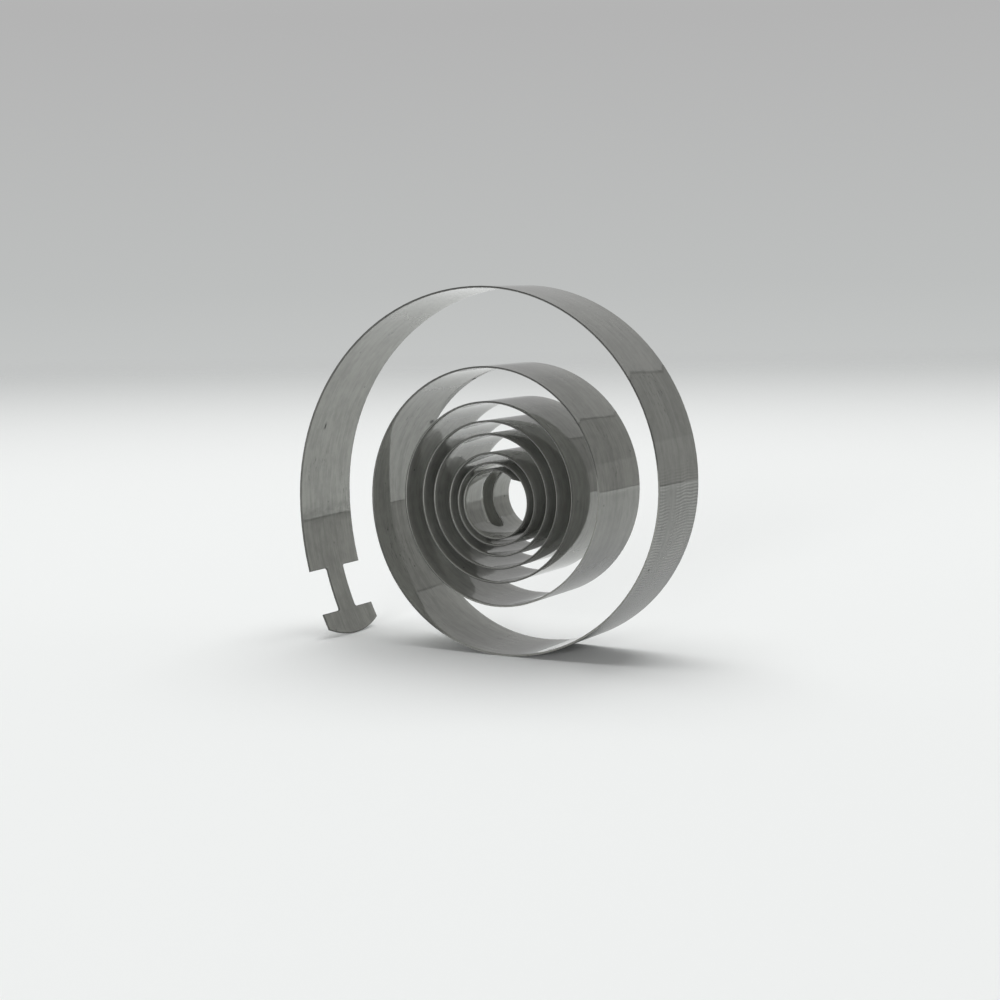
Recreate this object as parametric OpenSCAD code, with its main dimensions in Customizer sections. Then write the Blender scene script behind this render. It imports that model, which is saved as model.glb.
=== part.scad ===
// Power spring: one flat steel strip wound into an open spiral, with a T-shaped tang at
// its outer end and a long slot near its inner end.
// The coil axis lies along Y and +Z is up. The spring stands on the lowest line of its
// outer turn and on the tip of the tang, and the origin is on the ground below the middle
// of its overall width.

/* [Strip] */
// Width of the strip, along the coil axis
strip_w = 12.5; // [9:0.1:16]
// Thickness of the strip
strip_t = 0.25; // [0.15:0.01:0.35]

/* [Coil radii] */
// Radius of curvature at the inner end
eye_r = 4.5; // [4.2:0.1:4.8]
// Radius where the tight core ends
core_r = 7.3; // [6.9:0.1:7.6]
// Radius of the first free turn
free_r = 8.7; // [8.3:0.1:9.2]
// Radius at the end of the free turns
mid_r = 12.7; // [11.8:0.1:13.6]
// Radius where the coil has begun to open
open_r = 17; // [15.5:0.1:18.5]
// Radius at the right-hand side of the outer turn
outer_r = 23.6; // [21.5:0.1:25.5]
// Radius of the last quarter turn, at the top left
end_r = 30.5; // [27.5:0.1:33]
// Radius of the tail, past the far left of the coil
tail_r = 41.4; // [37:0.1:46]
// How much fuller the coil is towards +X, as a share of its radius
lean = 0.004; // [0:0.001:0.008]

/* [Coil turns] */
// Turns in the tight core
core_turns = 2.5; // [2:0.25:3]
// Turns over which the core lets go into the free turns
release_turns = 0.5; // [0.5:0.25:1]
// Turns of the free part
free_turns = 2; // [1.5:0.25:2.5]
// Turns over which the coil begins to open
open_turns = 1; // [0.75:0.25:1.25]
// Turns over which it opens to the right-hand side of the outer turn
outer_turns = 0.75; // [0.75:0.25:1]
// Turns from there to the last quarter turn
end_turns = 0.5; // [0.5:0.25:0.75]
// Degrees of the innermost quarter turn that the strip fills
inner_angle = 60; // [45:1:75]

/* [Tang] */
// Length of the tail, from the far left of the coil to the tip of the tang
tail_len = 21.45; // [19:0.05:24]
// Width of the neck
neck_w = 4.1; // [3:0.1:6]
// Length of the neck, from the shoulders to the head
neck_len = 6.5; // [4:0.1:8]
// Length of the straight sides of the head
head_side = 2.4; // [1.5:0.1:4]
// Fillet in the corners of the neck
neck_fillet = 0.4; // [0.2:0.05:0.8]

/* [Inner end] */
// Width of the slot
slot_w = 3.5; // [2.5:0.1:4.5]
// Length of the slot, between the tips of its round ends
slot_len = 11.5; // [8:0.1:12]
// Strip between the slot and the tip of the inner end
slot_margin = 5.5; // [4:0.1:6.5]

/* [Both ends] */
// How far the tip of each rounded end stands out past its corners
end_bulge = 1.4; // [0.8:0.1:1.8]

/* [Hidden] */
$fn = 144;

steel = [0.53, 0.53, 0.50];

// Reach of a cutter past the outer face of the strip, less than the gap to the next turn
cut_reach = 0.25;
// Spare strip that is wound past each tip and cropped off
crop = 1;

// Curvature at each station, by quarter turns from the inner end outwards
at_core = 4 * core_turns;
at_free = at_core + 4 * release_turns;
at_mid = at_free + 4 * free_turns;
at_open = at_mid + 4 * open_turns;
at_outer = at_open + 4 * outer_turns;
at_end = at_outer + 4 * end_turns;
last = at_end + 1;
stations = [
    [0, 1 / eye_r],
    [at_core, 1 / core_r],
    [at_free, 1 / free_r],
    [at_mid, 1 / mid_r],
    [at_open, 1 / open_r],
    [at_outer, 1 / outer_r],
    [at_end, 1 / end_r],
    [last, 1 / tail_r]
];

// The strip is a chain of quarter-turn arcs that meet in line. Arc 0 is the innermost, and
// the last one is the tail, which starts at the far left of the coil. Radii are kept to a
// hundredth, so that neighbouring arcs share their end faces.
function joint(k) = 180 - 90 * (last - k);
function arc_r(k) = round(100 * (1 + lean * cos(joint(k) + 45)) / lookup(k, stations)) / 100;
function arc_at(angle) = floor((angle - joint(0)) / 90);
function centre(k) = k == last
    ? [0, 0]
    : centre(k + 1) + (arc_r(k + 1) - arc_r(k)) * [cos(joint(k + 1)), sin(joint(k + 1))];

// Arc length as an angle about arc k, and the coil angle that lies a length outwards of another
function turn_of(len, k) = len / arc_r(k) * 180 / PI;
function walk(angle, len, k) =
    let (room = (joint(k + 1) - angle) * PI / 180 * arc_r(k))
    len <= room ? angle + turn_of(len, k) : walk(joint(k + 1), len - room, k + 1);

// Coil angles of the two tips and of the middle of the neck
tip_in = joint(1) - inner_angle;
tip_out = 180 + turn_of(tail_len, last);
neck_mid = tip_out - turn_of(end_bulge + head_side + neck_len / 2, last);

// The ground meets the tip of the tang and the lowest arc of the outer turn. This is its
// slope on the coil, which is turned back by as much to stand level.
low_r = arc_r(last - 3) + strip_t / 2;
tip_to_low = centre(last - 3) - (arc_r(last) + strip_t / 2) * [cos(tip_out), sin(tip_out)];
slope = atan2(tip_to_low[1], tip_to_low[0]) - asin(low_r / norm(tip_to_low));

// How far the outer turn reaches in a direction, once it stands level
function reach(direction) =
    let (angle = direction + slope, k = arc_at(angle))
    centre(k) * [cos(angle), sin(angle)] + arc_r(k) + strip_t / 2;

// Outside of the standing coil: the far left and right sides and the lowest line
x_left = -reach(180);
x_right = reach(0);
z_low = -reach(-90);

// Coil angles of the middles of the slot's round ends
slot_in = walk(tip_in, slot_margin + slot_w / 2, 0);
slot_out = walk(tip_in, slot_margin + slot_len - slot_w / 2, 0);

// Radius of the rounded ends, through both corners and the tip
end_round = (pow(strip_w / 2, 2) + pow(end_bulge, 2)) / (2 * end_bulge);

// Part of the coil between two coil angles, as a band of a given width and thickness. Each
// arc is swept away from a joint that it shares: the first one, which may start past its
// inner joint, is swept back from its outer joint.
module band(from, to, width, thickness) {
    for (k = [0 : last]) {
        a = max(from, joint(k));
        b = min(to, joint(k + 1));
        sweep = a > joint(k) ? a - b : b - a;
        if (b > a)
            translate(centre(k))
                rotate(sweep < 0 ? b : a)
                    rotate_extrude(angle = sweep)
                        translate([arc_r(k) - thickness / 2, -width / 2])
                            square([thickness, width]);
    }
}

// Children on the strip at a coil angle: X runs outwards along it, Y across it and Z
// away from the middle of the coil
module on_strip(angle) {
    k = arc_at(angle);
    translate(centre(k))
        rotate(angle)
            translate([arc_r(k), 0])
                rotate([90, 0, 90])
                    children();
}

// Cutter through the strip, from inside the turn to just past its outer face
module through(inside) {
    translate([0, 0, -inside])
        linear_extrude(inside + strip_t / 2 + cut_reach)
            children();
}

// Outline of all that lies past a rounded end whose tip is at the origin
module past_end() {
    difference() {
        translate([-end_bulge, -strip_w])
            square([end_bulge + 2 * crop, 2 * strip_w]);
        translate([-end_round, 0])
            circle(end_round);
    }
}

// Outline of the gap beside the neck, on its +Y side
module neck_gap() {
    straight = neck_len - 2 * neck_fillet;
    translate([-straight / 2, neck_w / 2])
        square([straight, strip_w]);
    translate([-neck_len / 2, neck_w / 2 + neck_fillet])
        square([neck_len, strip_w]);
    for (side = [-1, 1])
        translate([side * straight / 2, neck_w / 2 + neck_fillet])
            circle(neck_fillet);
}

// Cutters of the tang: the rounded tip and the two gaps beside the neck
module tang_cuts() {
    on_strip(tip_out)
        through(crop)
            past_end();
    for (side = [0, 1])
        on_strip(neck_mid)
            mirror([0, side, 0])
                through(crop)
                    neck_gap();
}

// Cutters of the inner end: the rounded tip and the long slot
module inner_cuts() {
    on_strip(tip_in)
        mirror([1, 0, 0])
            through(eye_r / 2)
                past_end();
    band(slot_in, slot_out, slot_w, strip_t + 2 * cut_reach);
    for (angle = [slot_in, slot_out])
        on_strip(angle)
            through(slot_w / 2)
                circle(d = slot_w);
}

// The whole strip, stood on the ground with its axis along Y
module spring_strip() {
    color(steel)
        translate([-(x_left + x_right) / 2, 0, -z_low])
            rotate([90, 0, 0])
                rotate(-slope)
                    difference() {
                        band(tip_in - turn_of(crop, 0), tip_out + turn_of(crop, last), strip_w, strip_t);
                        tang_cuts();
                        inner_cuts();
                    }
}

spring_strip();
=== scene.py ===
import math

import bmesh
import bpy
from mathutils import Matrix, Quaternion, Vector


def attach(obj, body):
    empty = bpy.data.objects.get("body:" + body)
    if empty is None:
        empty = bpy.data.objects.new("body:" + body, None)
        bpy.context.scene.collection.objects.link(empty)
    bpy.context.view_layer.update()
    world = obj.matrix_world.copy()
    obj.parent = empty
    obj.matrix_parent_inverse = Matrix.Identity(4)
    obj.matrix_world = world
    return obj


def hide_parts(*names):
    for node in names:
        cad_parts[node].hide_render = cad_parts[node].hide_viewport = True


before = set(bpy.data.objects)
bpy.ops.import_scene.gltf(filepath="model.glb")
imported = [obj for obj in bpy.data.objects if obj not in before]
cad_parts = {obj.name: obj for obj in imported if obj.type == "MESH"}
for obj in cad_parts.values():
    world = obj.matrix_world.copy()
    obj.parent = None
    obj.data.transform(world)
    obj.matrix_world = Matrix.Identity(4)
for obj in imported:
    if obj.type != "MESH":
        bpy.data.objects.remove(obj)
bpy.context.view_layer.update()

MM = 0.001

# Smallest difference that counts between two lengths or turns
TINY = 1e-6

# Sizes of the strip in millimetres, the same as in the part's source
STRIP_W = 12.5
STRIP_T = 0.25
EYE_R = 4.5
CORE_R = 7.3
FREE_R = 8.7
MID_R = 12.7
OPEN_R = 17
OUTER_R = 23.6
END_R = 30.5
TAIL_R = 41.4
LEAN = 0.004
INNER_ANGLE = 60
TAIL_LEN = 21.45
NECK_W = 4.1
NECK_LEN = 6.5
HEAD_SIDE = 2.4
NECK_FILLET = 0.4
SLOT_W = 3.5
SLOT_LEN = 11.5
SLOT_MARGIN = 5.5
END_BULGE = 1.4

# Rounding of the edges, sharp towards the outer face and rolled over towards the inner one
OUTER_ROUND = 0.03
INNER_ROUND = 0.12

# Turn between neighbouring rows of the mesh
ROW_TURN = 3

# Faces of the strip, kept this far apart across the strip in its own coordinates
INNER, OUTER, WALL, ROLL = 0, 1, 2, 3
SIDE_STEP = 40

# Curvature at each station, by quarter turns from the inner end outwards
STATIONS = [
    (0, EYE_R), (10, CORE_R), (12, FREE_R), (20, MID_R),
    (24, OPEN_R), (27, OUTER_R), (29, END_R), (30, TAIL_R),
]
LAST = STATIONS[-1][0]


def joint(k):
    return 180 - 90 * (LAST - k)


def curvature(k):
    for (k0, r0), (k1, r1) in zip(STATIONS, STATIONS[1:]):
        if k <= k1:
            share = (k - k0) / (k1 - k0)
            return (1 - share) / r0 + share / r1


def arc_radius(k):
    fuller = 1 + LEAN * math.cos(math.radians(joint(k) + 45))
    return round(100 * fuller / curvature(k)) / 100


RADII = [arc_radius(k) for k in range(LAST + 1)]


def spoke(angle, length=1.0):
    """Ends of a spoke at a coil angle."""
    return length * math.cos(math.radians(angle)), length * math.sin(math.radians(angle))


# Middles of the quarter-turn arcs, chained inwards from the last one
CENTRES = [(0, 0)]
for k in range(LAST - 1, -1, -1):
    x, z = spoke(joint(k + 1), RADII[k + 1] - RADII[k])
    CENTRES.insert(0, (CENTRES[0][0] + x, CENTRES[0][1] + z))

TIP_IN = joint(1) - INNER_ANGLE
TIP_OUT = 180 + math.degrees(TAIL_LEN / RADII[LAST])

# Slope on the coil of the ground, which meets the tip of the tang and the lowest arc
LOW_R = RADII[LAST - 3] + STRIP_T / 2
tip_x, tip_z = spoke(TIP_OUT, RADII[LAST] + STRIP_T / 2)
run, rise = CENTRES[LAST - 3][0] - tip_x, CENTRES[LAST - 3][1] - tip_z
SLOPE = math.degrees(math.atan2(rise, run) - math.asin(LOW_R / math.hypot(run, rise)))


def level(x, z):
    """A point of the coil, once the coil is turned back to stand level."""
    c, s = spoke(SLOPE)
    return x * c + z * s, z * c - x * s


def reach(direction):
    """How far the outer turn reaches in a direction, once it stands level."""
    x, z = spoke(direction + SLOPE)
    k = math.floor((direction + SLOPE - joint(0)) / 90)
    return CENTRES[k][0] * x + CENTRES[k][1] * z + RADII[k] + STRIP_T / 2


X_MID = (reach(0) - reach(180)) / 2
Z_LOW = -reach(-90)


def arc_length(angle):
    """Length of strip from the inner tip to a coil angle."""
    total = 0
    for k in range(LAST + 1):
        a = max(TIP_IN, joint(k))
        b = min(angle, joint(k + 1))
        if b > a:
            total += math.radians(b - a) * RADII[k]
    return total


LENGTH = arc_length(TIP_OUT)


def coil_angle(along):
    """Coil angle and arc at a length of strip from the inner tip."""
    start = TIP_IN
    for k in range(LAST + 1):
        room = math.radians(joint(k + 1) - start) * RADII[k]
        if along <= room or k == LAST:
            return start + math.degrees(along / RADII[k]), k
        along -= room
        start = joint(k + 1)


def on_coil(along, across, out):
    """Place of a point of the flat strip, once it is wound."""
    angle, k = coil_angle(along)
    x, z = spoke(angle, RADII[k] + out)
    x, z = level(CENTRES[k][0] + x, CENTRES[k][1] + z)
    return Vector((x - X_MID, across, z - Z_LOW)) * MM


def end_arc(across, bulge, half_width):
    """How far a rounded end falls back from its tip."""
    r = (half_width ** 2 + bulge ** 2) / (2 * bulge)
    return r - math.sqrt(r ** 2 - across ** 2)


HALF_W = STRIP_W / 2
HALF_SLOT = SLOT_W / 2
ROOT = NECK_W / 2 + NECK_FILLET

# Lines along the strip, as distances from its middle, so that each cut follows a line
PLAIN_LINES = (3.2, 4.0, 4.8, 5.6)
half_lines = [HALF_SLOT * math.sin(math.radians(a)) for a in range(18, 91, 18)]
half_lines += [ROOT, *PLAIN_LINES, HALF_W]
LINES = [-v for v in reversed(half_lines)] + [0] + half_lines

SLOT_A = SLOT_MARGIN
SLOT_B = SLOT_MARGIN + SLOT_LEN
HEAD = LENGTH - END_BULGE - HEAD_SIDE
SHOULDER = HEAD - NECK_LEN


# Ends of the blocks that make up the flat strip: length along it, by distance from its middle
def tip_in_line(v):
    return end_arc(v, END_BULGE, HALF_W)


def slot_near(v):
    return SLOT_A + end_arc(min(abs(v), HALF_SLOT), HALF_SLOT, HALF_SLOT)


def slot_far(v):
    return SLOT_A + SLOT_B - slot_near(v)


def straight(u):
    return lambda v: u


def tip_out_line(v):
    return LENGTH - end_arc(v, END_BULGE, HALF_W)


# Which of the lines a block uses
def everywhere(v):
    return True


def beside_slot(v):
    return abs(v) > HALF_SLOT - TINY


def in_neck(v):
    return abs(v) < ROOT + TINY


def neck_share(u):
    """Width of the neck at a length, as a share of its width at the roots."""
    from_end = min(u - SHOULDER, HEAD - u)
    if from_end >= NECK_FILLET:
        return NECK_W / 2 / ROOT
    drop = NECK_FILLET - math.sqrt(NECK_FILLET ** 2 - (NECK_FILLET - from_end) ** 2)
    return (NECK_W / 2 + drop) / ROOT


def even(n):
    """Shares of the way for rows at equal steps."""
    return [i / n for i in range(n + 1)]


# Rows of the long plain part, at equal turns and at every joint between two arcs. They start
# a little past the slot.
PAST_SLOT = 1
first_row = SLOT_B + PAST_SLOT
row_angle = coil_angle(first_row)[0]
body_rows = [first_row]
while row_angle < coil_angle(SHOULDER)[0] - ROW_TURN:
    row_angle = ROW_TURN * (math.floor(row_angle / ROW_TURN + TINY) + 1)
    body_rows.append(arc_length(row_angle))
body_rows.append(SHOULDER)
body_shares = [(u - first_row) / (SHOULDER - first_row) for u in body_rows]

# Rows of the neck: close together in the fillets, and a few between them
NECK_ROWS = [0.2, 0.35, 0.5, 0.65, 0.8]
fillet_share = NECK_FILLET / NECK_LEN
root_shares = [fillet_share * (1 - math.cos(math.radians(a))) for a in range(0, 91, 15)]
neck_shares = root_shares + NECK_ROWS + [1 - s for s in reversed(root_shares)]

# Numbers of rows in the inner tip, beside the slot, just past it and in the head
TIP_ROWS, SLOT_ROWS, PAST_SLOT_ROWS, HEAD_ROWS = 20, 26, 8, 6

# Blocks of the flat strip: lower and upper edge, rows as shares of the way, lines in use
BLOCKS = [
    (tip_in_line, slot_near, even(TIP_ROWS), everywhere),
    (straight(SLOT_A + HALF_SLOT), straight(SLOT_B - HALF_SLOT), even(SLOT_ROWS), beside_slot),
    (slot_far, straight(first_row), even(PAST_SLOT_ROWS), everywhere),
    (straight(first_row), straight(SHOULDER), body_shares, everywhere),
    (straight(SHOULDER), straight(HEAD), neck_shares, in_neck),
    (straight(HEAD), tip_out_line, even(HEAD_ROWS), everywhere),
]


def flat_strip():
    """Points of the flat strip and its cells, as lists of point numbers."""
    points, cells, known = [], [], {}

    def number(u, v):
        key = (round(u, 5), round(v, 5))
        if key not in known:
            known[key] = len(points)
            points.append((u, v))
        return known[key]

    for low, high, shares, used in BLOCKS:
        grid = []
        for s in shares:
            row = []
            for v in LINES:
                if used(v):
                    u = low(v) + s * (high(v) - low(v))
                    across = v * neck_share(u) if used is in_neck else v
                    row.append((v, number(u, across)))
            grid.append(row)
        for below, above in zip(grid, grid[1:]):
            for i in range(len(below) - 1):
                if used is beside_slot and below[i][0] < 0 < below[i + 1][0]:
                    continue
                cell = [below[i][1], below[i + 1][1], above[i + 1][1], above[i][1]]
                cells.append(list(dict.fromkeys(cell)))
    return points, [c for c in cells if len(c) > 2]


# Texture map: the strip is folded into rows of one length, outer face above inner, on a square.
# Rows start a little in from its side, with a margin round each.
MAP_ROW = 116
MAP_PITCH = 13.6
MAP_SIDE = 140
MAP_LEAD = 8
MAP_MARGIN = 0.6


def map_place(row, u, v):
    """Place on the texture map of a point of the flat strip."""
    start = math.floor(row / 2) * MAP_ROW
    height = row * MAP_PITCH + v + HALF_W + MAP_MARGIN
    return (u - start + MAP_LEAD) / MAP_SIDE, height / MAP_SIDE


def edge_profile():
    """Steps round an edge from the outer face to the inner: inset, height and length so far."""
    turns = [math.radians(a) for a in (0, 30, 60, 90)]
    quarter = [(1 - math.sin(a), 1 - math.cos(a)) for a in turns]
    steps = [(inset * OUTER_ROUND, STRIP_T / 2 - drop * OUTER_ROUND) for inset, drop in quarter]
    quarter.reverse()
    steps += [(inset * INNER_ROUND, drop * INNER_ROUND - STRIP_T / 2) for inset, drop in quarter]
    lengths = [0]
    for before, after in zip(steps, steps[1:]):
        lengths.append(lengths[-1] + math.dist(before, after))
    return [(inset, out, length) for (inset, out), length in zip(steps, lengths)]


def build_strip():
    """The wound strip: its two faces and the rounded edge that joins them."""
    points, cells = flat_strip()
    bm = bmesh.new()
    strip_uv = bm.loops.layers.uv.new("strip")
    bake_uv = bm.loops.layers.uv.new("OFBake")

    # Edges of the outline, and at each of its points the way out of the strip
    edges = set()
    for c in cells:
        edges.update(zip(c, c[1:] + c[:1]))
    rim = {i: j for i, j in edges if (j, i) not in edges}
    outward = {}
    for i, j in rim.items():
        along = (Vector(points[j]) - Vector(points[i])).normalized()
        outward[i] = Vector((-along.y, along.x))
    way_out = {}
    for i, j in rim.items():
        n0, n1 = outward[i], outward[j]
        way_out[j] = (n0 + n1) / (1 + n0.dot(n1))

    def place_of(i, outside):
        """Place on the flat strip of a point, moved out past the outline or in from it."""
        return Vector(points[i]) + way_out[i] * outside if i in way_out else Vector(points[i])

    def add_face(corners, places, side):
        """One face, with its corners' places on the flat strip."""
        face = bm.faces.new(corners)
        face.smooth = True
        middle = sum(u for u, v in places) / len(places)
        row = 2 * math.floor(middle / MAP_ROW) + (0 if side == INNER else 1)
        for loop, (u, v) in zip(face.loops, places):
            loop[strip_uv].uv = (u * MM, (v + side * SIDE_STEP) * MM)
            loop[bake_uv].uv = map_place(row, u, v)

    profile = edge_profile()
    sheets = {}
    for side, gap, out in ((OUTER, OUTER_ROUND, STRIP_T / 2), (INNER, INNER_ROUND, -STRIP_T / 2)):
        places = [place_of(i, -gap) for i in range(len(points))]
        sheets[side] = [bm.verts.new(on_coil(u, v, out)) for u, v in places]
        for c in cells:
            turned = c if side == OUTER else c[::-1]
            add_face([sheets[side][i] for i in turned], [places[i] for i in turned], side)

    steps = {}
    for i in rim:
        between = [
            bm.verts.new(on_coil(*place_of(i, -gap), out)) for gap, out, length in profile[1:-1]
        ]
        steps[i] = [sheets[OUTER][i]] + between + [sheets[INNER][i]]
    for i, j in rim.items():
        for k in range(len(profile) - 1):
            near, far = (profile[n][2] - OUTER_ROUND for n in (k, k + 1))
            corners = [steps[j][k], steps[i][k], steps[i][k + 1], steps[j][k + 1]]
            places = [place_of(j, near), place_of(i, near), place_of(i, far), place_of(j, far)]
            add_face(corners, places, WALL if k < len(profile) // 2 else ROLL)

    mesh = bpy.data.meshes.new("wound_strip")
    bm.to_mesh(mesh)
    bm.free()
    return mesh


strip = bpy.data.objects.new("wound_strip", build_strip())
bpy.context.scene.collection.objects.link(strip)

# The wide faces lead the shading, so that they stay flat up to the rounded edges
keep_flat = strip.modifiers.new("keep_flat", "WEIGHTED_NORMAL")
keep_flat.weight = 90
keep_flat.keep_sharp = False


def add(tree, kind, inputs=None, **settings):
    """One shader node, with its settings and the links or values of its inputs."""
    made = tree.nodes.new(kind)
    for name, value in settings.items():
        setattr(made, name, value)
    for name, value in (inputs or {}).items():
        if isinstance(value, bpy.types.NodeSocket):
            tree.links.new(value, made.inputs[name])
        else:
            made.inputs[name].default_value = value
    return made


def maths(tree, operation, *values):
    """The result of one sum, product or other operation."""
    made = add(tree, "ShaderNodeMath", dict(enumerate(values)), operation=operation)
    return made.outputs["Value"]


def ease(tree, value, low, high, start=0.0, end=1.0):
    """A value that eases from start to end as another goes from low to high."""
    made = add(tree, "ShaderNodeMapRange", {
        "Value": value, "From Min": low, "From Max": high, "To Min": start, "To Max": end,
    }, interpolation_type="SMOOTHSTEP")
    return made.outputs["Result"]


def noise(tree, place, pitch, detail=3.0, rough=0.5, shift=0.0):
    """Noise whose grains are about so long along the strip and so wide across it."""
    where = add(tree, "ShaderNodeMapping", {
        "Vector": place, "Location": (shift, shift, 0), "Scale": (1 / pitch[0], 1 / pitch[1], 1),
    })
    made = add(tree, "ShaderNodeTexNoise", {
        "Vector": where.outputs["Vector"], "Scale": 1.0, "Detail": detail, "Roughness": rough,
    }, noise_dimensions="2D")
    return made.outputs[0]


def total(tree, *values):
    """Sum of several values, each a socket with its weight."""
    result = None
    for value, weight in values:
        if result is None:
            result = maths(tree, "MULTIPLY", value, weight)
        else:
            result = maths(tree, "MULTIPLY_ADD", value, weight, result)
    return result


# Steel: colour of the faces and of the sheared walls, and its share of metal
FACE_COLOUR = (0.297, 0.301, 0.279)
WALL_COLOUR = (0.06, 0.06, 0.057)
METAL = 0.45

# Shades against the plain face: streaks from dark to light, the darker outside of the outermost
# turn, painted shade on the lowest stretches, painted light on the stretch behind the slot, and the
# crests of the ripple
STREAK_SHADES = (0.85, 1.12)
DARKER_SHADE = 0.78
LOW_SHADE = 0.54
PAINTED_LIGHT_GAIN = 2.0
RIPPLE_SHADE = 0.4

# What is left, in the painted shade low on the right, of the share of metal and of the dark of the
# edges
LOW_METAL = 0.3
LOW_RIM = 0.25

# Depth of the stains and of the smear
STAIN_DEPTH = 0.5
SMEAR_DEPTH = 0.24

# Roughness of the faces from clear to clouded, and of the other kinds of surface
FACE_ROUGH = (0.02, 0.05)
WALL_ROUGH = 0.4
ROLL_ROUGH = 0.15
LOW_ROUGH = 0.25
MARK_ROUGH = 0.8

# Heights of the relief in millimetres
WAVY_HEIGHT = 0.0035
STREAK_HEIGHT = 0.0005
RIPPLE_HEIGHT = 0.0007

# Curl of the strip across its width: how far in from each edge it starts, and how high it gets
CURL_WIDTH = 1.4
CURL_HEIGHT = 0.02

# Ripple on the right-hand side of the outer turn: pitch, scale of the pattern for a pitch of
# one, and the length of strip it covers
RIPPLE_PITCH = 0.42
RIPPLE_SCALE = 0.314
RIPPLE_FROM = arc_length(joint(LAST - 2) - 52)
RIPPLE_TO = arc_length(joint(LAST - 2) + 9)

# Where the outside of the strip turns darker, on its outermost turn
DARKER_FROM = arc_length(joint(LAST - 3))

# Low on the right the two outer turns carry painted shade, standing in for a darker reflection:
# joint at the far right, and shade there
LOW_TURNS = [(LAST - 2, 0.76), (LAST - 6, 0.84)]

# Degrees from that joint: start at the bottom, end of the lowest stretch, where it has faded out,
# end of the side and where that has faded out
LOW_DEGREES = (-110, -45, -8, -1, 3)

# Stretch of the second turn that lies behind the slot and gets painted light, seen through it
PAINTED_LIGHT_FROM, PAINTED_LIGHT_TO = (arc_length(coil_angle(end)[0] + 360) for end in (SLOT_A, SLOT_B))
PAINTED_LIGHT_HALF_W = HALF_SLOT + 2.2

# Marks: length from the inner tip, place across the strip, face, half length, half width, depth
MARKS = [
    (530.95, -2.4, INNER, 0.7, 0.2, 0.85),
    (361.7, 5.6, INNER, 0.45, 0.6, 0.95),
    (363.5, 5.5, INNER, 9.0, 1.2, 0.35),
    (371.2, 4.95, INNER, 0.45, 0.7, 0.75),
    (440.8, -4.15, OUTER, 0.25, 0.25, 0.75),
]

# Middle of a smear across the inside of the tail, and how far it spreads along the strip
SMEAR_AT = LENGTH - 18.4
SMEAR_REACH = 2.2

# Where the painted shade on the rolled edge grows, between the inner and the outer turns
PAINTED_EDGE_SHADE_AT = arc_length(joint(LAST - 7))


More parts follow.
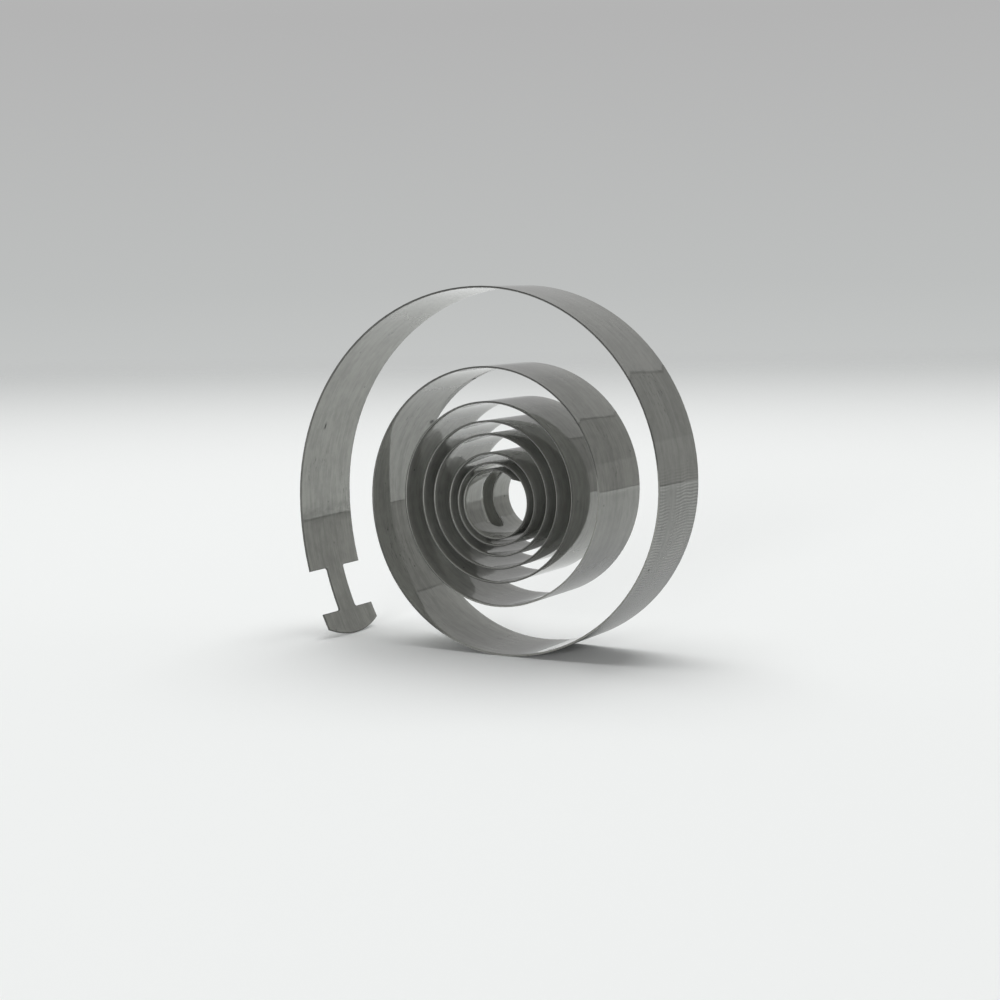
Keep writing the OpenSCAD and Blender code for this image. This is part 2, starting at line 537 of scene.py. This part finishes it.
def steel_material():
    """Rolled spring steel: streaks along the strip, clouding, stains, ripple and curled edges, with
    painted shade and painted light.
    """
    mat = bpy.data.materials.new("spring_steel")
    mat.use_nodes = True
    tree = mat.node_tree
    shader = tree.nodes["Principled BSDF"]

    # Place on the strip in millimetres, and which of its faces this is
    flat = add(tree, "ShaderNodeUVMap", uv_map="strip")
    scaled = add(tree, "ShaderNodeVectorMath", {
        0: flat.outputs["UV"], "Scale": 1 / MM,
    }, operation="SCALE")
    place = scaled.outputs["Vector"]
    axes = add(tree, "ShaderNodeSeparateXYZ", {"Vector": place})
    along, sided = axes.outputs["X"], axes.outputs["Y"]
    across = maths(tree, "WRAP", sided, SIDE_STEP / 2, -SIDE_STEP / 2)
    from_mid = maths(tree, "ABSOLUTE", across)
    on_inner = maths(tree, "COMPARE", sided, INNER * SIDE_STEP, HALF_W + 1)
    on_outer = maths(tree, "COMPARE", sided, OUTER * SIDE_STEP, HALF_W + 1)
    on_wall = maths(tree, "COMPARE", sided, WALL * SIDE_STEP, HALF_W + 1)
    on_roll = maths(tree, "COMPARE", sided, ROLL * SIDE_STEP, HALF_W + 1)

    # Rolling streaks and clouding
    fine = noise(tree, place, (4.5, 0.2), 3, 0.6)
    broad = noise(tree, place, (30, 1.1), 3, 0.55, 7)
    mottle = noise(tree, place, (1.6, 1.0), 3, 0.6, 33)
    cloud = noise(tree, place, (7, 4), 4, 0.6, 21)
    tone = total(tree, (fine, 0.26), (broad, 0.24), (mottle, 0.22), (cloud, 0.24))
    shade = ease(tree, tone, 0.36, 0.60, *STREAK_SHADES)

    # Stains: short dark dashes in patches, and a few lone specks
    dashes = ease(tree, noise(tree, place, (1.3, 0.22), 2, 0.5, 3), 0.62, 0.74)
    patches = ease(tree, noise(tree, place, (11, 6), 2, 0.5, 40), 0.56, 0.70)
    dots = add(tree, "ShaderNodeTexVoronoi", {"Vector": place, "Scale": 0.16, "Randomness": 1.0},
               voronoi_dimensions="2D")
    specks = ease(tree, dots.outputs["Distance"], 0.012, 0.036, 1.0, 0.0)
    chance = add(tree, "ShaderNodeSeparateColor", {"Color": dots.outputs["Color"]})
    specks = maths(tree, "MULTIPLY", specks, ease(tree, chance.outputs["Red"], 0.74, 0.9))
    stain = maths(tree, "MAXIMUM", maths(tree, "MULTIPLY", dashes, patches), specks)
    from_smear = maths(tree, "ABSOLUTE", maths(tree, "SUBTRACT", along, SMEAR_AT))
    smear = maths(tree, "MULTIPLY", on_inner, ease(tree, from_smear, 0.2, SMEAR_REACH, 1.0, 0.0))
    blots = noise(tree, place, (1.2, 2.4), 3, 0.6, 80)
    smear = maths(tree, "MULTIPLY", smear, ease(tree, blots, 0.3, 0.65))
    stain = maths(tree, "MAXIMUM", maths(tree, "MULTIPLY", stain, STAIN_DEPTH),
                  maths(tree, "MULTIPLY", smear, SMEAR_DEPTH))

    # Single marks, which are rough as well as dark
    marking = 0.0
    for mark_along, mark_across, side, half_length, half_width, depth in MARKS:
        middle = (mark_along, mark_across + side * SIDE_STEP, 0)
        offset = add(tree, "ShaderNodeVectorMath", {0: place, 1: middle}, operation="SUBTRACT")
        offset = add(tree, "ShaderNodeVectorMath", {
            0: offset.outputs["Vector"], 1: (1 / half_length, 1 / half_width, 0),
        }, operation="MULTIPLY")
        away = add(tree, "ShaderNodeVectorMath", {0: offset.outputs["Vector"]}, operation="LENGTH")
        marking = maths(tree, "MAXIMUM", marking, ease(tree, away.outputs["Value"], 0.4, 1.1, depth, 0.0))
    stain = maths(tree, "MAXIMUM", stain, marking)

    # Ripple across the strip on the outside of the outer turn
    waves = add(tree, "ShaderNodeTexWave", {
        "Vector": place, "Scale": RIPPLE_SCALE / RIPPLE_PITCH, "Distortion": 7.0, "Detail": 1.0,
        "Detail Scale": 0.3,
    }, wave_type="BANDS", bands_direction="X")
    there = maths(tree, "MULTIPLY", ease(tree, along, RIPPLE_FROM, RIPPLE_FROM + 9),
                  ease(tree, along, RIPPLE_TO - 5, RIPPLE_TO, 1.0, 0.0))
    there = maths(tree, "MULTIPLY", there, on_outer)
    clear = maths(tree, "MULTIPLY", there, ease(tree, cloud, 0.33, 0.53))
    ripple = maths(tree, "MULTIPLY", maths(tree, "SUBTRACT", waves.outputs["Fac"], 0.5), clear)

    # Shade and share of metal: the darker outside of the outermost turn, and painted shade low on
    # the right
    darker_outside = maths(tree, "MULTIPLY", on_outer, ease(tree, along, DARKER_FROM - 12, DARKER_FROM + 4))
    shade = maths(tree, "MULTIPLY", shade, ease(tree, darker_outside, 0.0, 1.0, 1.0, DARKER_SHADE))
    metal = maths(tree, "MULTIPLY", maths(tree, "SUBTRACT", 1.0, marking), METAL)
    pale_rim, low_zone = 0.0, 0.0
    # Painted shade low on the right of the two outer turns, standing in for a darker reflection;
    # their edges are paler there
    for right, side_shade in LOW_TURNS:
        lengths = (arc_length(joint(right) + turn) for turn in LOW_DEGREES)
        bottom, low_end, low_out, side_end, side_out = lengths
        here = ease(tree, along, bottom - 5, bottom)
        begun = maths(tree, "MULTIPLY", on_outer, here)
        rim = maths(tree, "MULTIPLY", here, ease(tree, along, side_out, side_out + 4, 1.0, 0.0))
        pale_rim = maths(tree, "MAXIMUM", pale_rim, rim)
        side = maths(tree, "MULTIPLY", begun, ease(tree, along, side_end, side_out, 1.0, 0.0))
        low = maths(tree, "MULTIPLY", begun, ease(tree, along, low_end, low_out, 1.0, 0.0))
        shade = maths(tree, "MULTIPLY", shade, ease(tree, side, 0.0, 1.0, 1.0, side_shade))
        shade = maths(tree, "MULTIPLY", shade, ease(tree, low, 0.0, 1.0, 1.0, LOW_SHADE))
        metal = maths(tree, "MULTIPLY", metal, ease(tree, low, 0.0, 1.0, 1.0, LOW_METAL))
        low_zone = maths(tree, "MAXIMUM", low_zone, low)
    shade = maths(tree, "MULTIPLY_ADD", ripple, RIPPLE_SHADE, shade)
    shade = maths(tree, "MULTIPLY", shade, maths(tree, "SUBTRACT", 1.0, stain))
    # Painted light on the stretch of the second turn seen through the slot
    painted_light = maths(tree, "MULTIPLY", ease(tree, along, PAINTED_LIGHT_FROM - 1, PAINTED_LIGHT_FROM),
                ease(tree, along, PAINTED_LIGHT_TO, PAINTED_LIGHT_TO + 1, 1.0, 0.0))
    painted_light = maths(tree, "MULTIPLY", painted_light, ease(tree, from_mid, PAINTED_LIGHT_HALF_W - 0.6, PAINTED_LIGHT_HALF_W, 1.0, 0.0))
    painted_light = maths(tree, "MULTIPLY", painted_light, on_inner)
    shade = maths(tree, "MULTIPLY", shade, ease(tree, painted_light, 0.0, 1.0, 1.0, PAINTED_LIGHT_GAIN))

    # Colour: shaded faces, dark walls, and painted shade on the rolled edges, more on the outer
    # turns and where they face downwards
    face = add(tree, "ShaderNodeVectorMath", {0: FACE_COLOUR, "Scale": shade}, operation="SCALE")
    wall = add(tree, "ShaderNodeVectorMath", {0: WALL_COLOUR, "Scale": shade}, operation="SCALE")
    facing = add(tree, "ShaderNodeNewGeometry")
    facing = add(tree, "ShaderNodeSeparateXYZ", {"Vector": facing.outputs["Normal"]})
    # Painted shade on the rolled edges: more on the outer turns, most where they face downwards
    painted_edge_shade = maths(tree, "MAXIMUM", ease(tree, along, PAINTED_EDGE_SHADE_AT - 15, PAINTED_EDGE_SHADE_AT + 15, 0.2, 0.6),
                     ease(tree, facing.outputs["Z"], -0.4, -0.12, 0.9, 0.0))
    edge = maths(tree, "MAXIMUM", on_wall, maths(tree, "MULTIPLY", on_roll, painted_edge_shade))
    edge = maths(tree, "MULTIPLY", edge, ease(tree, pale_rim, 0.0, 1.0, 1.0, LOW_RIM))
    colour = add(tree, "ShaderNodeMix", {
        0: edge, 4: face.outputs["Vector"], 5: wall.outputs["Vector"],
    }, data_type="VECTOR")
    tree.links.new(colour.outputs[1], shader.inputs["Base Color"])
    tree.links.new(metal, shader.inputs["Metallic"])

    # Roughness: the clouding, the edges from the shears, the lowest stretches on the right and the
    # marks
    clouded = ease(tree, cloud, 0.3, 0.7, *FACE_ROUGH)
    rough = total(tree, (on_wall, WALL_ROUGH), (on_roll, ROLL_ROUGH),
                  (low_zone, LOW_ROUGH), (marking, MARK_ROUGH))
    tree.links.new(maths(tree, "MAXIMUM", clouded, rough), shader.inputs["Roughness"])

    # Relief in millimetres: curl towards the edges, waviness, streaks and ripple
    curl = maths(tree, "DIVIDE", maths(tree, "SUBTRACT", from_mid, HALF_W - CURL_WIDTH), CURL_WIDTH)
    curl = maths(tree, "POWER", maths(tree, "MAXIMUM", curl, 0.0), 2.0)
    curl = maths(tree, "MULTIPLY", curl, maths(tree, "SUBTRACT", on_outer, on_inner))
    wavy = noise(tree, place, (16, 3.2), 2, 0.5, 60)
    height = total(tree, (curl, CURL_HEIGHT), (wavy, WAVY_HEIGHT),
                   (fine, STREAK_HEIGHT), (ripple, RIPPLE_HEIGHT))
    relief = add(tree, "ShaderNodeBump", {"Height": height, "Distance": MM, "Strength": 1.0})
    tree.links.new(relief.outputs["Normal"], shader.inputs["Normal"])
    return mat


strip.data.materials.append(steel_material())
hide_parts("spring_strip")
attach(strip, "root")


def stage_mesh(name, corners, material):
    """A flat piece of the studio."""
    mesh = bpy.data.meshes.new(name)
    mesh.from_pydata(corners, [], [list(range(len(corners)))])
    mesh.materials.append(material)
    made = bpy.data.objects.new(name, mesh)
    bpy.context.scene.collection.objects.link(made)
    return made


# Camera, at the photograph's angle: degrees, and millimetres
CAM_AZIMUTH = 29.816
CAM_ELEVATION = 6.585
CAM_ROLL = -0.858
CAM_DISTANCE = 259.49
CAM_TARGET = (1.223, 0, 20.772)
CAM_LENS = 66.61
CAM_SENSOR = 36

# Floor: a wide pale disc that thins out far away, and sooner behind the spring, in metres
FLOOR_R = 3.0
FLOOR_FADE = (1.2, 2.6)
BACK_FADE = (0.22, 1.2)
PAPER_COLOUR = (0.868, 0.882, 0.876, 1)
PAPER_ROUGH = 0.9


def floor_material():
    """Pale matt paper that thins out far away."""
    mat = bpy.data.materials.new("paper")
    mat.use_nodes = True
    tree = mat.node_tree
    shader = tree.nodes["Principled BSDF"]
    shader.inputs["Base Color"].default_value = PAPER_COLOUR
    shader.inputs["Roughness"].default_value = PAPER_ROUGH
    shader.inputs["Specular IOR Level"].default_value = 0.0
    place = add(tree, "ShaderNodeTexCoord")
    away = add(tree, "ShaderNodeVectorMath", {0: place.outputs["Object"]}, operation="LENGTH")
    sideways, backwards = spoke(90 + CAM_AZIMUTH)
    behind = add(tree, "ShaderNodeVectorMath", {
        0: place.outputs["Object"], 1: (sideways, backwards, 0),
    }, operation="DOT_PRODUCT")
    fade = maths(tree, "MULTIPLY", ease(tree, away.outputs["Value"], *FLOOR_FADE, 1.0, 0.0),
                 ease(tree, behind.outputs["Value"], *BACK_FADE, 1.0, 0.0))
    tree.links.new(fade, shader.inputs["Alpha"])
    return mat


stage_mesh("floor", [(*spoke(a, FLOOR_R), 0) for a in range(0, 360, 5)], floor_material())


def card_material(name, low_light, high_light, fade_height):
    """A card that shows plain brightness, easing from one near the floor to another above."""
    mat = bpy.data.materials.new(name)
    mat.use_nodes = True
    tree = mat.node_tree
    tree.nodes.clear()
    place = add(tree, "ShaderNodeTexCoord")
    axes = add(tree, "ShaderNodeSeparateXYZ", {"Vector": place.outputs["Object"]})
    light = ease(tree, axes.outputs["Z"], 0.0, fade_height, low_light, high_light)
    glow = add(tree, "ShaderNodeEmission", {"Color": (1, 1, 0.985, 1), "Strength": light})
    add(tree, "ShaderNodeOutputMaterial", {"Surface": glow.outputs["Emission"]})
    return mat


def card(name, azimuths, heights, distance, low_light, high_light, fade_height):
    """An upright card, seen only in the steel. Azimuths are from +Y towards +X."""
    (x0, y0), (x1, y1) = (spoke(90 - azimuth, distance) for azimuth in azimuths)
    low, high = heights
    corners = [(x0, y0, low), (x1, y1, low), (x1, y1, high), (x0, y0, high)]
    made = stage_mesh(name, corners, card_material(name, low_light, high_light, fade_height))
    made.visible_camera = False
    made.visible_diffuse = False
    made.visible_shadow = False


# The side of the room on the right with the dark edge of its wall, and a low ledge with a dark
# edge: azimuths, heights and distance in metres, brightness low down and above, height of the change
CARDS = [
    ("room_side", (15.1, 31.5), (0, 0.9), 0.60, 0.46, 0.37, 0.12),
    ("room_far_side", (31.5, 70), (0, 0.9), 0.60, 0.50, 0.45, 0.25),
    ("wall_edge", (14.4, 15.2), (0, 0.9), 0.59, 0.2, 0.2, 0.1),
    ("ledge", (16, 60), (0.0088, 0.05), 0.198, 0.46, 0.46, 0.1),
    ("ledge_edge", (16, 60), (0.0082, 0.0094), 0.1975, 0.25, 0.25, 0.1),
]
for values in CARDS:
    card(*values)

# World: a plain grey room, a little paler below eye level. Colours far below and at eye level,
# then heights of sight and brightness there.
ROOM_LOW = 0.05
ROOM_BELOW = (0.563, 0.575, 0.571, 1)
ROOM_LEVEL = (0.510, 0.521, 0.517, 1)
ROOM_ABOVE = ((0.14, 0.456), (0.34, 0.54), (0.6, 0.47), (0.85, 0.15))

# It dims towards the camera's side: from and to what depth of sight, and how far
ROOM_DEPTH = (-0.3, 0.5, 0.4, 1.0)

world = bpy.data.worlds.new("room")
bpy.context.scene.world = world
world.use_nodes = True
tree = world.node_tree
back = tree.nodes["Background"]
sight = add(tree, "ShaderNodeTexCoord")
parts = add(tree, "ShaderNodeSeparateXYZ", {"Vector": sight.outputs["Generated"]})
ramp = add(tree, "ShaderNodeValToRGB", {"Fac": maths(tree, "ADD", parts.outputs["Z"], ROOM_LOW)})
ramp.color_ramp.elements[0].position = 0.0
ramp.color_ramp.elements[0].color = ROOM_BELOW
ramp.color_ramp.elements[1].position = ROOM_LOW
ramp.color_ramp.elements[1].color = ROOM_LEVEL
for height, light in ROOM_ABOVE:
    stop = ramp.color_ramp.elements.new(height + ROOM_LOW)
    stop.color = (light, light, light, 1)
tree.links.new(ramp.outputs["Color"], back.inputs["Color"])
path = add(tree, "ShaderNodeLightPath")
depth = ease(tree, parts.outputs["Y"], *ROOM_DEPTH)
strength = maths(tree, "MAXIMUM", path.outputs["Is Camera Ray"], depth)
tree.links.new(strength, back.inputs["Strength"])


def soft_light(name, size, power, place, target):
    """A square soft light that doesn't show in the steel."""
    data = bpy.data.lights.new(name, "AREA")
    data.size = size
    data.energy = power
    lamp = bpy.data.objects.new(name, data)
    lamp.location = place
    lamp.rotation_mode = "QUATERNION"
    lamp.rotation_quaternion = (Vector(target) - lamp.location).to_track_quat("-Z", "Y")
    lamp.visible_glossy = False
    bpy.context.scene.collection.objects.link(lamp)


# Soft light overhead, a little behind, and a faint fill from the front into the gaps between the
# turns: size in metres, power in watts, and where each is and what it faces, in metres
soft_light("softbox", 1.1, 10.15, (-0.095, 0.19, 1.0), (0.0, -0.06, 0.0))
soft_light("fill", 0.5, 20, (0.31, -1.46, 0.16), (0.0, 0.0, 0.0))

# Camera
cam_data = bpy.data.cameras.new("camera")
cam_data.sensor_width = CAM_SENSOR
cam_data.lens = CAM_LENS
cam_data.clip_start = 0.01
cam_data.clip_end = 20
camera = bpy.data.objects.new("camera", cam_data)
flat, up = spoke(CAM_ELEVATION)
away = Vector((*spoke(CAM_AZIMUTH - 90, flat), up))
camera.location = (Vector(CAM_TARGET) + away * CAM_DISTANCE) * MM
camera.rotation_mode = "QUATERNION"
roll = Quaternion((0, 0, 1), math.radians(CAM_ROLL))
camera.rotation_quaternion = (-away).to_track_quat("-Z", "Y") @ roll
bpy.context.scene.collection.objects.link(camera)
bpy.context.scene.camera = camera
bpy.context.scene.view_settings.view_transform = "Standard"
